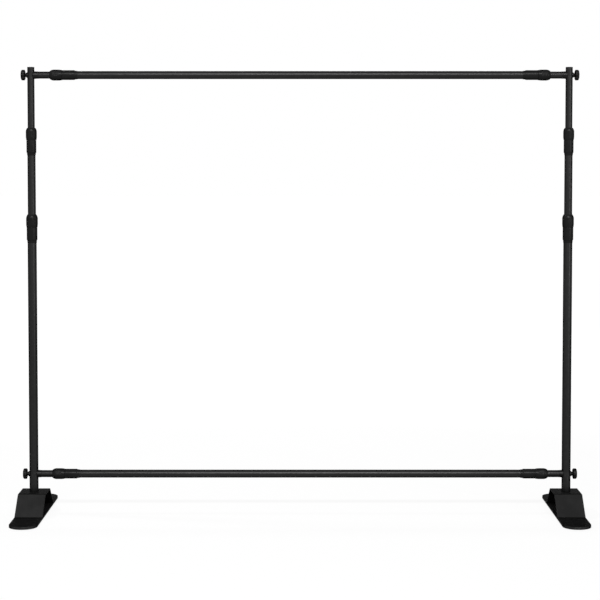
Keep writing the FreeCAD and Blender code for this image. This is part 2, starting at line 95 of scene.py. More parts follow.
class Wire:
    noiseRoughness = 0.55

    def __init__(self, tree, socket=None):
        self.tree = tree
        self.socket = socket

    def add(self, kind, inputs=None, output=0, **settings):
        # A node of this type: its settings first, then its inputs by name or by number
        node = self.tree.nodes.new(kind)
        for name, content in settings.items():
            setattr(node, name, content)
        for key, content in (inputs or {}).items():
            self.feed(node.inputs[key], content)
        return Wire(self.tree, node.outputs[output])

    def feed(self, socket, content):
        if isinstance(content, Wire):
            self.tree.links.new(content.socket, socket)
        else:
            socket.default_value = content

    def maths(self, operation, *parts):
        return self.add("ShaderNodeMath", dict(enumerate(parts)), operation=operation)

    def __add__(self, other):
        return self.maths("ADD", self, other)

    def __radd__(self, other):
        return self.maths("ADD", other, self)

    def __sub__(self, other):
        return self.maths("SUBTRACT", self, other)

    def __mul__(self, other):
        return self.maths("MULTIPLY", self, other)

    def blend(self, dark, light):
        # From one colour to the other as this value goes from 0 to 1. The Mix node's colours
        # are its inputs 6 and 7 and its output 2
        return self.add("ShaderNodeMix", {0: self, 6: dark, 7: light}, output=2,
                        data_type="RGBA", clamp_factor=True)

    def ramp(self, stops):
        # Greys between two stops, each a position and a level
        shades = self.add("ShaderNodeValToRGB", {"Fac": self})
        elements = shades.socket.node.color_ramp.elements
        for element, (position, level) in zip(elements, stops):
            element.position = position
            element.color = tint(level)
        return shades

    def noise(self, cell, stretch=(1, 1, 1), detail=2.0):
        # Soft noise of that cell size on the object's own coordinates, stretched if asked
        coords = self.add("ShaderNodeTexCoord", output="Object")
        coords = self.add("ShaderNodeMapping", {"Vector": coords, "Scale": stretch})
        return self.add("ShaderNodeTexNoise",
                        {"Vector": coords, "Scale": 1 / (cell * mm), "Detail": detail,
                         "Roughness": self.noiseRoughness})


# Every finish runs from a dark to a light shade over some centimetres, with a fine grain, and
# is a little paler and smoother on the edges that hands and boxes rub. The blacks get their
# gloss from a share of dark metal, and lowGloss is how much of it is left at a low angle: none
# on the round pieces, whose sides stay black, and some on the feet's flat faces. dark, light
# and rubbed are linear levels, spread is how far the roughness varies, mottle and grain are
# cell sizes, and depth is the grain's

usualFinish = {"depth": 0.006, "spread": 0.08, "specular": 0.0, "lowGloss": 0.0}
finishPlans = {
    "tube_coat": {"dark": 0.0185, "light": 0.0225, "rubbed": 0.045, "mottle": 60,
                  "grain": 0.45, "depth": 0.018, "roughness": 0.34, "metal": 0.75},
    "foot_coat": {"dark": 0.0182, "light": 0.0225, "rubbed": 0.05, "mottle": 45,
                  "grain": 0.55, "depth": 0.030, "roughness": 0.34, "spread": 0.10,
                  "metal": 0.72, "lowGloss": 0.26},
    "lock_plastic": {"dark": 0.0125, "light": 0.0155, "rubbed": 0.026, "mottle": 22,
                     "grain": 0.22, "roughness": 0.30, "metal": 0.40},
    "knob_plastic": {"dark": 0.0115, "light": 0.0140, "rubbed": 0.022, "mottle": 14,
                     "grain": 0.20, "roughness": 0.32, "metal": 0.80},
    "fitting_plastic": {"dark": 0.0125, "light": 0.0155, "rubbed": 0.028, "mottle": 16,
                        "grain": 0.22, "roughness": 0.34, "metal": 0.75},
    "bush_plastic": {"dark": 0.30, "light": 0.36, "rubbed": 0.42, "mottle": 12,
                     "grain": 0.25, "roughness": 0.42, "metal": 0.0, "specular": 0.45,
                     "lowGloss": 1.0},
    "pad_rubber": {"dark": 0.012, "light": 0.018, "rubbed": 0.03, "mottle": 9,
                   "grain": 0.35, "depth": 0.030, "roughness": 0.80, "spread": 0.10,
                   "metal": 0.05},
    "zinc_steel": {"dark": 0.30, "light": 0.46, "rubbed": 0.55, "mottle": 3.5,
                   "grain": 0.30, "roughness": 0.36, "spread": 0.16, "metal": 1.0,
                   "specular": 0.5, "lowGloss": 1.0},
}
texturePlan = {
    "mottleStops": ((0.36, 0), (0.64, 1)), "mottleDetail": 3.0, "mottleShare": 0.75,
    "mottleGloss": 0.5,       # share of the mottle that also changes the roughness
    "speckCell": 2.4,         # in grains
    "speckStops": ((0.35, 0), (0.75, 1)), "speckShare": 0.25,
    "grainDetail": 3.0,
    "streakCell": 0.08,       # in mottles
    "streakDetail": 1.0,
    "middle": 0.75,           # mean of that share and the streak, which leaves it unchanged
    "rubCell": 7, "rubStops": ((0.40, 0), (0.70, 1)), "rubPaling": 0.6, "rubSmoothing": 0.08,
    "alongTube": 0.12,        # the mottle's scale along a tube, with 1 across
}


def makeFinish(name, plan, stretch=(1, 1, 1), texture=texturePlan):
    plan = usualFinish | plan
    material = bpy.data.materials.new(name)
    material.use_nodes = True
    shader = material.node_tree.nodes["Principled BSDF"]
    wire = Wire(material.node_tree)
    mottle = wire.noise(plan["mottle"], stretch, texture["mottleDetail"])
    mottle = mottle.ramp(texture["mottleStops"])
    speck = wire.noise(plan["grain"] * texture["speckCell"]).ramp(texture["speckStops"])
    grain = wire.noise(plan["grain"], detail=texture["grainDetail"])
    streak = wire.noise(plan["mottle"] * texture["streakCell"], stretch,
                        texture["streakDetail"])
    rub = wire.add("ShaderNodeAttribute", output="Fac", attribute_name="wear")
    rub = rub * wire.noise(texture["rubCell"]).ramp(texture["rubStops"])
    shade = mottle * texture["mottleShare"] + speck * texture["speckShare"]
    colour = shade.blend(tint(plan["dark"]), tint(plan["light"]))
    colour = (rub * texture["rubPaling"]).blend(colour, tint(plan["rubbed"]))
    change = (mottle * texture["mottleGloss"] + streak - texture["middle"]) * plan["spread"]
    roughness = plan["roughness"] + change - rub * texture["rubSmoothing"]
    bump = wire.add("ShaderNodeBump",
                    {"Height": grain, "Distance": plan["depth"] * mm, "Strength": 1.0})
    for socket, content in (("Base Color", colour), ("Roughness", roughness), ("Normal", bump),
                            ("Metallic", plan["metal"]),
                            ("Specular IOR Level", plan["specular"]),
                            ("Specular Tint", tint(plan["lowGloss"]))):
        wire.feed(shader.inputs[socket], content)
    return material


finishes = {name: makeFinish(name + "Finish", plan) for name, plan in finishPlans.items()
            if name != "tube_coat"}
# The tubes' mottle runs along them, as the sliding tubes rub
for direction, stretch in (("Up", (1, 1, texturePlan["alongTube"])),
                           ("Across", (texturePlan["alongTube"], 1, 1))):
    finishes["tube_" + direction.lower()] = makeFinish(f"tubeCoat{direction}Finish",
                                                       finishPlans["tube_coat"], stretch)
print("finishes ready:", len(finishes))


# Surfaces: grids of points, in millimetres, joined into one closed mesh for each piece

directions = {  # how a piece's own X, Y and Z lie in the stand; its Z runs along its axis
    "up": np.eye(3),
    "right": np.array([[0, 0, 1], [0, 1, 0], [-1, 0, 0]], float),
    "left": np.array([[0, 0, -1], [0, 1, 0], [1, 0, 0]], float),
}
meshPlan = {
    "mergeDistance": 2e-6,   # metres
    "sharpAngle": 30,        # degrees, from which an edge is shaded sharp
    "wornAngle": 30,         # degrees, from which an outer edge is wholly worn
    "cornerShare": 0.48,     # the most of a side that the rounding of one corner takes up
    "cornerSteps": 4,        # straight steps in a rounding, where a plan gives no other number
}


def quads(rows, columns, loopRows, loopColumns):
    # Four-sided faces between neighbours of a grid, closed round where asked
    index = np.arange(rows * columns).reshape(rows, columns)
    if loopRows:
        index = np.concatenate([index, index[:1]])
    if loopColumns:
        index = np.concatenate([index, index[:, :1]], axis=1)
    corners = [index[:-1, :-1], index[:-1, 1:], index[1:, 1:], index[1:, :-1]]
    return np.stack(corners, axis=-1).reshape(-1, 4)


def softened(points, softness, closed=True, steps=meshPlan["cornerSteps"]):
    # A line with round corners: near corner P it is (1-t)^2 A + 2t(1-t) P + t^2 B,
    # from A on the side before to B on the side after, each the softness away from P
    corners = np.asarray(points, float)
    soft = np.array(np.broadcast_to(softness, len(corners)), float)
    if not closed:
        soft[[0, -1]] = 0
    before = np.roll(corners, 1, axis=0) - corners
    after = np.roll(corners, -1, axis=0) - corners
    longBefore = np.linalg.norm(before, axis=1)
    longAfter = np.linalg.norm(after, axis=1)
    most = meshPlan["cornerShare"] * np.minimum(longBefore, longAfter)
    reach = np.minimum(soft, most)[:, None]
    first = corners + before / longBefore[:, None] * reach
    last = corners + after / longAfter[:, None] * reach
    t = np.linspace(0, 1, steps + 1)[None, :, None]
    curve = ((1 - t) ** 2 * first[:, None] + 2 * t * (1 - t) * corners[:, None]
             + t ** 2 * last[:, None])
    return curve.reshape(-1, 2)


def spin(profile, around, radiusOf=None, heightOf=None):
    # The profile's (radius r, height z) goes round to (r cos a, r sin a, z); radiusOf and
    # heightOf may change r and z from r, z and a
    angle = np.arange(around) * 2 * math.pi / around
    radius, height, angle = np.broadcast_arrays(profile[:, :1], profile[:, 1:], angle[None])
    reach = radiusOf(radius, height, angle) if radiusOf else radius
    level = heightOf(reach, height, angle) if heightOf else height
    return np.stack([reach * np.cos(angle), reach * np.sin(angle), level], axis=-1)


def fade(value, low, high):
    # 0 below low, 1 above high and 3t^2 - 2t^3 between
    t = np.clip((value - low) / (high - low), 0, 1)
    return t * t * (3 - 2 * t)


def pressed(radius, middle, width, edge):
    # The share of its depth that a round groove has at that radius, flat beyond its edges
    return fade(1 - abs(radius - middle) / (width / 2), 0, edge)


def readAll(items, name, width, kind=float):
    numbers = np.empty(len(items) * width, kind)
    items.foreach_get(name, numbers)
    return numbers.reshape(-1, width)


def markWear(mesh):
    # wear is how sharply the surface turns outwards at a point: the largest angle between two
    # neighbouring faces there, as a share of the worn angle, where their shared edge stands out
    normals = readAll(mesh.polygons, "normal", 3)
    centres = readAll(mesh.polygons, "center", 3)
    counts = readAll(mesh.polygons, "loop_total", 1, np.int32).ravel()
    edges = readAll(mesh.loops, "edge_index", 1, np.int32).ravel()
    ends = readAll(mesh.edges, "vertices", 2, np.int32)
    order = np.argsort(edges, kind="stable")
    face, edges = np.repeat(np.arange(len(counts)), counts)[order], edges[order]
    pair = np.flatnonzero(edges[1:] == edges[:-1])
    one, two = face[pair], face[pair + 1]
    angle = np.degrees(np.arccos(np.clip((normals[one] * normals[two]).sum(1), -1, 1)))
    outwards = (normals[one] * (centres[two] - centres[one])).sum(1) < 0
    sharp = np.where(outwards, np.clip(angle / meshPlan["wornAngle"], 0, 1), 0)
    wear = np.zeros(len(mesh.vertices), np.float32)
    np.maximum.at(wear, ends[edges[pair]].ravel(), np.repeat(sharp, 2).astype(np.float32))
    mesh.attributes.new("wear", "FLOAT", "POINT").data.foreach_set("value", wear)


bodyOf = {node: body for body, members in frame["record"]["behaviour"]["bodies"].items()
          for node in members}


def boxOf(node):
    # The node's centre and its size, in millimetres
    lowest, highest = (np.array(corner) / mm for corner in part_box(node))
    return (lowest + highest) / 2, highest - lowest


def startOf(node, direction):
    # The middle of the end from which the node runs that way, and the node's size
    centre, size = boxOf(node)
    return centre - directions[direction][:, 2] * size / 2, size


def buildPiece(node, ending, sheets, slot, place, direction="up", finish=None,
               sharpAngle=meshPlan["sharpAngle"], replaces=True):
    # Joins the sheets, each (points, loopRows, loopColumns), merges what meets, turns the faces
    # outwards and sets the piece in its place, on the body that carries the node
    points, faces, count = [], [], 0
    for grid, loopRows, loopColumns in sheets:
        faces.append(quads(*grid.shape[:2], loopRows, loopColumns) + count)
        points.append(grid.reshape(-1, 3))
        count += len(points[-1])
    points = (np.concatenate(points) @ directions[direction].T + np.array(place)) * mm
    mesh = bpy.data.meshes.new(node + ending)
    mesh.from_pydata(points.tolist(), [], np.concatenate(faces).tolist())
    joined = bmesh.new()
    joined.from_mesh(mesh)
    bmesh.ops.remove_doubles(joined, verts=joined.verts, dist=meshPlan["mergeDistance"])
    bmesh.ops.recalc_face_normals(joined, faces=joined.faces)
    joined.to_mesh(mesh)
    joined.free()
    mesh.shade_smooth()
    mesh.set_sharp_from_angle(angle=math.radians(sharpAngle))
    markWear(mesh)
    mesh.materials.append(finishes[finish or slot])
    piece = bpy.data.objects.new(node + ending, mesh)
    bpy.context.scene.collection.objects.link(piece)
    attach(piece, bodyOf[node])
    if replaces:
        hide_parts(node)


# Tubes: a drawn wall with eased ends, and a stud hole across where a knob goes through

tubePlan = {
    "wall": 1.2,
    "endEase": 0.35,       # how far the ends' edges are eased
    "around": 192,         # points round a tube
    "studHole": 9,
    "patchHalf": 7,        # half height of the stretch of wall that holds the hole
    "patchRings": 5,
    "patchSides": 8,       # faces up each upright side of that stretch
    "ringCrowding": 1.6,   # power by which the rings crowd towards the hole
}


def holedWall(radius, middle, plan, turned):
    # The wall's stretch round the stud hole, on one half of the tube. Its outline is a
    # rectangle in angle a and height z; the rings go straight from it to the hole's edge,
    # where y = h cos f and z = middle + h sin f, so a = asin(y / radius) there
    half, steps, sides = plan["patchHalf"], plan["around"] // 2, plan["patchSides"]
    hole = plan["studHole"] / 2
    across = np.linspace(-math.pi / 2, math.pi / 2, steps + 1)
    rising = np.linspace(-half, half, sides + 1)
    a = np.concatenate([across[:-1], np.full(sides, math.pi / 2), across[:0:-1],
                        np.full(sides, -math.pi / 2)])
    z = np.concatenate([np.full(steps, -half), rising[:-1], np.full(steps, half),
                        rising[:0:-1]])
    f = np.arctan2(z * radius * math.pi / 2 / half, a * radius)
    holeA, holeZ = np.arcsin(hole * np.cos(f) / radius), hole * np.sin(f)
    share = np.linspace(0, 1, plan["patchRings"] + 1)[:, None] ** plan["ringCrowding"]
    a, z = holeA + share * (a - holeA), holeZ + share * (z - holeZ)
    x, y = radius * np.cos(a) * turned, radius * np.sin(a) * turned
    return np.stack([x, y, z + middle], axis=-1)


def makeTube(node, direction, holeHeight=None, plan=tubePlan):
    start, size = startOf(node, direction)
    radius, length = size[1] / 2, directions[direction][:, 2] @ size
    inner, ease = radius - plan["wall"], plan["endEase"]
    if holeHeight is None:
        profile = softened([(inner, 0), (radius, 0), (radius, length), (inner, length)], ease)
        sheets = [(spin(profile, plan["around"]), True, True)]
    else:
        middle = holeHeight - start[2]
        low, high = middle - plan["patchHalf"], middle + plan["patchHalf"]
        below = [(inner, low), (inner, 0), (radius, 0), (radius, low)]
        above = [(inner, high), (inner, length), (radius, length), (radius, high)]
        sheets = [(spin(softened(ends, ease, False), plan["around"]), False, True)
                  for ends in (below, above)]
        for turned in (1, -1):
            walls = [holedWall(r, middle, plan, turned) for r in (radius, inner)]
            rims = np.stack([wall[0] for wall in walls])
            sheets += [(sheet, False, True) for sheet in (*walls, rims)]
    finish = "tube_up" if direction == "up" else "tube_across"
    buildPiece(node, "_drawn", sheets, "tube_coat", start, direction, finish)


for side in ("left", "right"):
    makeTube(side + "_lower_tube", "up", boxOf(side + "_bottom_knob")[0][2])
    makeTube(side + "_middle_tube", "up")
    makeTube(side + "_upper_tube", "up", boxOf(side + "_top_knob")[0][2])
for level in ("top", "bottom"):
    makeTube(level + "_bar_centre_tube", "right")
    for side in ("left", "right"):
        makeTube(f"{level}_bar_{side}_end_tube", "right")
print("tubes ready")


# Twist locks: a body with four collet fingers, and a ribbed nut over them. Here and below, the
# names that end in Ease hold how far each corner of an outline is rounded, in its order

lockPlans = {
    "large": {"outerTube": 28, "innerTube": 25, "bodyLength": 48.5, "nutLength": 40.2,
              "tailWall": 0.5, "tailRootWall": 0.95, "bodyWall": 2.5, "skirtWall": 3,
              "nutWall": 4.1, "shoulderWall": 2, "noseWall": 1.2, "ribs": 40},
    "small": {"outerTube": 25, "innerTube": 22, "bodyLength": 47.5, "nutLength": 38.2,
              "tailWall": 0.5, "tailRootWall": 1.4, "bodyWall": 2.7, "skirtWall": 3.2,
              "nutWall": 4.5, "shoulderWall": 2.8, "noseWall": 1.7, "ribs": 38},
}
lockBodyPlan = {
    "seatGap": 0.05, "web": 6, "tailLength": 8, "tailChamfer": 1.5, "around": 96,
    "bodyEase": (0, 0.15, 0.8, 0.9, 0.6, 0.3, 0, 0, 0.2, 0.2),
    "fingers": 4, "fingerWall": 2.2, "tipWall": 0.9, "tipSetback": 4, "slotWidth": 2,
    "slotRoot": 5, "rootOverlap": 0.2, "fingerSteps": 12,
    "tipEdge": 0.4, "tipEdgeWalls": (0.12, -0.2),   # the tip's last stretch and its slant
}
lockNutPlan = {
    "skirtLength": 9, "noseLength": 10, "noseShoulder": 4, "mouthLength": 4, "mouthGap": 0.4,
    "rampLength": 10, "runningGap": 0.1, "endGap": 0.3,
    "nutEase": (0.2, 0.5, 2.5, 2.5, 3.0, 0.5, 0.15, 0.2, 1.0), "easeSteps": 6,
    "pointsPerRib": 9, "ribDepth": 0.28, "ribFade": 2.5,
    "ribReach": 1.6,        # only points this near to the widest radius take the ribs
    "cornerEnd": 2.4,       # the skirt's rounding ends about this far above it
    "rowInset": 3, "rows": 8,
    "sharpAngle": 55,       # degrees
}


def lockSizes(size):
    # The sizes of that lock, with those that every lock has
    plan = lockNutPlan | lockBodyPlan | lockPlans[size]
    return plan, plan["outerTube"] / 2, plan["innerTube"] / 2


def makeLockBody(node, size, direction, place):
    plan, outer, inner = lockSizes(size)
    seat, grip = outer + plan["seatGap"], inner + plan["runningGap"]
    shell, shoulder = outer + plan["bodyWall"], plan["bodyLength"]
    seatEnd = shoulder - plan["web"]
    mouth = shoulder + plan["endGap"] + plan["nutLength"] - plan["mouthLength"]
    fingerRoot, finger = shoulder + plan["slotRoot"], inner + plan["fingerWall"]
    rampStart = mouth - plan["rampLength"] - plan["endGap"]
    tip, tipRadius = mouth - plan["tipSetback"], inner + plan["tipWall"]
    profile = softened(
        [(seat, 0), (outer + plan["tailWall"], 0),
         (outer + plan["tailRootWall"], plan["tailLength"]),
         (shell, plan["tailLength"] + plan["tailChamfer"]), (shell, shoulder),
         (finger, shoulder), (finger, fingerRoot), (grip, fingerRoot),
         (grip, seatEnd), (seat, seatEnd)], plan["bodyEase"])
    sheets = [(spin(profile, plan["around"]), True, True)]
    # A finger's outline at each height: along the outside from slot to slot and back inside
    steps = np.linspace(0, 1, plan["fingerSteps"] + 1)
    heights = np.array([fingerRoot - plan["rootOverlap"], fingerRoot, rampStart,
                        tip - plan["tipEdge"], tip])[:, None]
    outside = np.array([finger] * 3 + [tipRadius + wall for wall in plan["tipEdgeWalls"]])
    slot, turn = plan["slotWidth"] / 2, 2 * math.pi / plan["fingers"]
    for number in range(plan["fingers"]):
        sides = []
        for radius in (outside[:, None], np.full_like(outside, grip)[:, None]):
            edge = np.arcsin(slot / radius)
            angle = number * turn + edge + steps * (turn - 2 * edge)
            sides.append(np.stack([radius * np.cos(angle), radius * np.sin(angle),
                                   heights + 0 * angle], axis=-1))
        sheets.append((np.concatenate([sides[0], sides[1][:, ::-1]], axis=1), False, True))
        sheets += [(np.stack([sides[0][end], sides[1][end]]), False, False)
                   for end in (0, -1)]
    buildPiece(node, "_moulded", sheets, "lock_plastic", place, direction)


def makeLockNut(node, size, direction, place):
    plan, outer, inner = lockSizes(size)
    bottom = plan["bodyLength"] + plan["endGap"]
    top = bottom + plan["nutLength"]
    bore, mouth = inner + plan["fingerWall"] + plan["runningGap"], inner + plan["mouthGap"]
    widest = outer + plan["nutWall"]
    skirtEnd, noseStart = bottom + plan["skirtLength"], top - plan["noseLength"]
    profile = softened(
        [(bore, bottom), (outer + plan["skirtWall"], bottom), (widest, skirtEnd),
         (widest, noseStart), (outer + plan["shoulderWall"], top - plan["noseShoulder"]),
         (inner + plan["noseWall"], top), (mouth, top), (mouth, top - plan["mouthLength"]),
         (bore, top - plan["mouthLength"] - plan["rampLength"])],
        plan["nutEase"], steps=plan["easeSteps"])

    def ribbed(radius, height, angle):
        # Grooves between the grip ribs: depth times (1/2 + 1/2 cos(ribs a))^2, fading out
        # towards the skirt and the nose
        groove = (0.5 + 0.5 * np.cos(plan["ribs"] * angle)) ** 2
        fading = plan["ribFade"]
        along = (fade(height, skirtEnd - fading, skirtEnd + fading)
                 * (1 - fade(height, noseStart - fading, noseStart + fading)))
        return radius - plan["ribDepth"] * groove * along * (radius > widest - plan["ribReach"])

    # Extra rows along the ribs, so that they start and end smoothly
    extra = np.linspace(skirtEnd + plan["rowInset"], noseStart - plan["rowInset"], plan["rows"])
    extra = np.stack([np.full_like(extra, widest), extra], axis=-1)
    straight = int(np.flatnonzero(profile[:, 1] > skirtEnd + plan["cornerEnd"])[0]) + 1
    profile = np.insert(profile, straight, extra, axis=0)
    surface = spin(profile, plan["ribs"] * plan["pointsPerRib"], ribbed)
    buildPiece(node, "_moulded", [(surface, True, True)], "lock_plastic", place, direction,
               sharpAngle=plan["sharpAngle"])


def makeLock(stem, size, direction):
    place = startOf(stem + "_lock_body", direction)[0]
    makeLockBody(stem + "_lock_body", size, direction, place)
    makeLockNut(stem + "_lock_nut", size, direction, place)


for side in ("left", "right"):
    makeLock(side + "_lower", "large", "up")
    makeLock(side + "_upper", "small", "up")
    for level in ("top", "bottom"):
        makeLock(f"{level}_bar_{side}", "small", side)
print("twist locks ready")


# Knobs: a lobed head with a flared neck, on a threaded stud

knobPlan = {
    "washer": 2, "seatGap": 0.05, "middleRise": 0.01,
    "flareDiameter": 15, "flareLength": 2.4, "neckDiameter": 12, "neckLength": 5.2,
    "headDiameter": 33, "backDiameter": 29.6, "backLength": 1.2, "rimLength": 8.8,
    "faceDiameter": 26.5, "faceRise": 1.8, "faceLip": 2, "faceLipRise": 0.2, "domeRise": 1.1,
    "headEase": (0, 0.5, 2.2, 1.6, 1.2, 1.2, 2.2, 1.6, 0), "easeSteps": 6,
    "lobes": 8, "scallopDiameter": 10, "scallopDepth": 1.8, "lobeRounding": 2.6,
    "lobeInsets": (6.5, 0.6),   # from the rim, where the lobes start and where they are full
    "headMargin": 0.01,         # the lobes start this far below the neck's end
    "ringRadius": 9.5, "ringWidth": 0.9, "ringDepth": 0.35, "ringEdge": 0.6,
    "ringSpan": 0.8, "ringRows": 15, "domeInset": 1.4, "domeRows": 9,
    "around": 256,
}
studPlan = {
    "diameter": 8, "reach": 29, "intoHead": 1, "around": 40,
    "pitch": 1.25, "depth": 0.7, "rowsPerTurn": 8,
    "flankSlope": 1.25, "crestFlat": 0.1,    # of the triangle wave that cuts the thread
    "runOut": 1, "tipTaper": 1.2, "taperEnds": (-0.2, 1.6),
    "sharpAngle": 50,                        # degrees
}


def makeKnob(node, direction, place, postRadius, plan=knobPlan):
    seat = postRadius + plan["washer"] + plan["seatGap"]
    neckEnd = seat + plan["neckLength"]
    rimStart = neckEnd + plan["backLength"]
    rimEnd = rimStart + plan["rimLength"]
    face = rimEnd + plan["faceRise"]
    rim, neck = plan["headDiameter"] / 2, plan["neckDiameter"] / 2
    faceRadius, ring = plan["faceDiameter"] / 2, plan["ringRadius"]
    outline = softened(
        [(0, seat + plan["middleRise"]), (plan["flareDiameter"] / 2, seat),
         (neck, seat + plan["flareLength"]), (neck, neckEnd),
         (plan["backDiameter"] / 2, neckEnd), (rim, rimStart), (rim, rimEnd),
         (faceRadius, face), (faceRadius - plan["faceLip"], face + plan["faceLipRise"])],
        plan["headEase"], closed=False, steps=plan["easeSteps"])
    # The dome, which rises as 1 - (r / R)^2, with a shallow ring pressed into it
    radius = np.concatenate([
        np.linspace(ring + plan["ringSpan"], ring - plan["ringSpan"], plan["ringRows"]),
        np.linspace(ring - plan["domeInset"], 0, plan["domeRows"])])
    dome = face + plan["domeRise"] * (1 - (radius / faceRadius) ** 2)
    dome -= plan["ringDepth"] * pressed(radius, ring, plan["ringWidth"], plan["ringEdge"])
    profile = np.concatenate([outline, np.stack([radius, dome], axis=-1)])
    scallop = plan["scallopDiameter"] / 2
    away = rim + scallop - plan["scallopDepth"]

    def lobed(radius, height, angle):
        # The rim's outline is the smaller of its own radius and the near side of the hollows,
        # D cos b - sqrt(q^2 - D^2 sin^2 b) for hollows of radius q, D from the axis, rounded
        # into each other by a soft minimum
        turn = 2 * math.pi / plan["lobes"]
        b = angle % turn - turn / 2
        inside = np.maximum(scallop ** 2 - (away * np.sin(b)) ** 2, 0)
        hollow = np.where(inside > 0, away * np.cos(b) - np.sqrt(inside),
                          away * np.cos(b) + abs(away * np.sin(b)) - scallop)
        k = plan["lobeRounding"]
        edge = -np.log(np.exp(-k * (hollow - rim)) + 1) / k
        first, full = plan["lobeInsets"]
        share = fade(radius, rim - first, rim - full) * (height > neckEnd - plan["headMargin"])
        return radius + edge * share

    buildPiece(node, "_head", [(spin(profile, plan["around"], lobed), False, True)],
               "knob_plastic", place, direction)


def makeStud(node, direction, place, postRadius, plan=studPlan):
    # A screw thread: the radius falls from the crest by a triangle wave of z / pitch - a / 2 pi
    reach, pitch = plan["reach"], plan["pitch"]
    top = postRadius + knobPlan["washer"] + plan["intoHead"]
    rows = int((top + reach) / pitch * plan["rowsPerTurn"])
    height = np.linspace(-reach, top, rows)
    profile = np.stack([np.full(rows, plan["diameter"] / 2), height], axis=-1)
    profile = np.concatenate([[(0, -reach)], profile, [(0, top)]])

    def threaded(radius, height, angle):
        wave = abs(((height / pitch - angle / (2 * math.pi)) % 1) * 2 - 1)
        cut = plan["depth"] * np.clip(wave * plan["flankSlope"] - plan["crestFlat"], 0, 1)
        cut = cut * (1 - fade(height, top - plan["runOut"], top))
        first, full = plan["taperEnds"]
        taper = plan["tipTaper"] * (1 - fade(height, first - reach, full - reach))
        return np.where(radius > 0, radius - np.maximum(cut, taper), 0)

    buildPiece(node, "_stud", [(spin(profile, plan["around"], threaded), False, True)],
               "zinc_steel", place, direction, sharpAngle=plan["sharpAngle"], replaces=False)


# Saddle plugs and saddle washers: their ends follow the post's curve

saddlePlan = {
    "wrap": 4, "postLip": 0.9, "tubeLip": 0.3, "tubeDiameter": 22, "tubeStart": 24,
    "spigotDiameter": 19.5, "spigotLength": 26, "boreDiameter": 8.12,
    "lipDraft": 0.1, "lipLength": 2.5, "coneEnd": 6,
    "plugEase": (0, 0.35, 1.5, 1.5, 0.4, 0, 0.8, 0.4),
    "rowInsets": (0.3, 0.6), "rows": 9,
}
washerPlan = {
    "wrap": 2, "thickness": 2, "diameter": 17, "bore": 8.6, "washerEase": (0, 0.2, 0.6, 0.3),
    "rowInsets": (0.2, 0.3), "rows": 7,
}
huggingPlan = {"seatGap": 0.05, "around": 128}


def buildHugging(node, corners, ease, postRadius, place, direction, plan):
    # A turned piece whose first side, from its first corner to its second, lies on the post:
    # its heights are no lower than the post's own surface, sqrt(R^2 - y^2). That side gets rows
    # of its own, after the points of the first corner
    seat = postRadius + huggingPlan["seatGap"]
    (bore, face), (outside, face) = corners[:2]
    inset, outset = plan["rowInsets"]
    rows = np.linspace(bore + inset, outside - outset, plan["rows"])
    rows = np.stack([rows, np.full_like(rows, face)], axis=-1)
    profile = np.insert(softened(corners, ease), meshPlan["cornerSteps"] + 1, rows, axis=0)

    def hugging(radius, height, angle):
        across = radius * np.sin(angle)
        return np.maximum(height, np.sqrt(np.maximum(seat ** 2 - across ** 2, 0)))

    surface = spin(profile, huggingPlan["around"], None, hugging)
    buildPiece(node, "_moulded", [(surface, True, True)], "fitting_plastic", place, direction)


def makeSaddle(node, direction, place, postRadius, plan=saddlePlan):
    bore, face = plan["boreDiameter"] / 2, postRadius - plan["wrap"]
    tube, spigot = plan["tubeDiameter"] / 2, plan["spigotDiameter"] / 2
    outside, collar = tube + plan["postLip"], tube + plan["tubeLip"]
    start, end = plan["tubeStart"], plan["tubeStart"] + plan["spigotLength"]
    corners = [(bore, face), (outside, face),
               (outside - plan["lipDraft"], postRadius + plan["lipLength"]),
               (collar, postRadius + plan["coneEnd"]), (collar, start), (spigot, start),
               (spigot, end), (bore, end)]
    buildHugging(node, corners, plan["plugEase"], postRadius, place, direction, plan)


def makeWasher(node, direction, place, postRadius, plan=washerPlan):
    bore, outside = plan["bore"] / 2, plan["diameter"] / 2
    face, back = postRadius - plan["wrap"], postRadius + plan["thickness"]
    corners = [(bore, face), (outside, face), (outside, back), (bore, back)]
    buildHugging(node, corners, plan["washerEase"], postRadius, place, direction, plan)


for side, inward in (("left", "right"), ("right", "left")):
    for level, tube in (("top", "upper"), ("bottom", "lower")):
        knob = f"{side}_{level}_knob"
        post, extent = boxOf(f"{side}_{tube}_tube")
        place, postRadius = (post[0], 0, boxOf(knob)[0][2]), extent[1] / 2
        makeKnob(knob, side, place, postRadius)
        makeStud(knob, side, place, postRadius)
        makeWasher(knob + "_washer", side, place, postRadius)
        makeSaddle(f"{level}_bar_{side}_saddle", inward, place, postRadius)
print("knobs and saddles ready")


# Caps on the post tops

capPlan = {
    "thickness": 2.5, "spigotLength": 10, "spigotDiameter": 19.5, "wall": 1.6, "floor": 1,
    "dish": 0.25, "dishInsets": (2.2, 3),    # from the rim, where its slope starts and ends
    "around": 96,
    "capEase": (0, 0.4, 0.3, 0.5, 0.1, 0.15, 0.7, 0.3, 0.3, 0),
}


def makeCap(node, plan=capPlan):
    centre, size = boxOf(node)
    radius, spigot = size[0] / 2, plan["spigotDiameter"] / 2
    hollow, under, top = spigot - plan["wall"], -plan["spigotLength"], plan["thickness"]
    dish, (first, last) = top - plan["dish"], plan["dishInsets"]
    profile = softened(
        [(0, -plan["floor"]), (hollow, -plan["floor"]), (hollow, under), (spigot, under),
         (spigot, 0), (radius, 0), (radius, top), (radius - first, top), (radius - last, dish),
         (0, dish)], plan["capEase"], closed=False)
    place = (centre[0], centre[1], centre[2] + size[2] / 2 - top)
    buildPiece(node, "_moulded", [(spin(profile, plan["around"]), False, True)],
               "fitting_plastic", place)


for side in ("left", "right"):
    makeCap(side + "_top_cap")
print("caps ready")


# Feet: a flat plate and a bent sheet on it, both with half-round ends

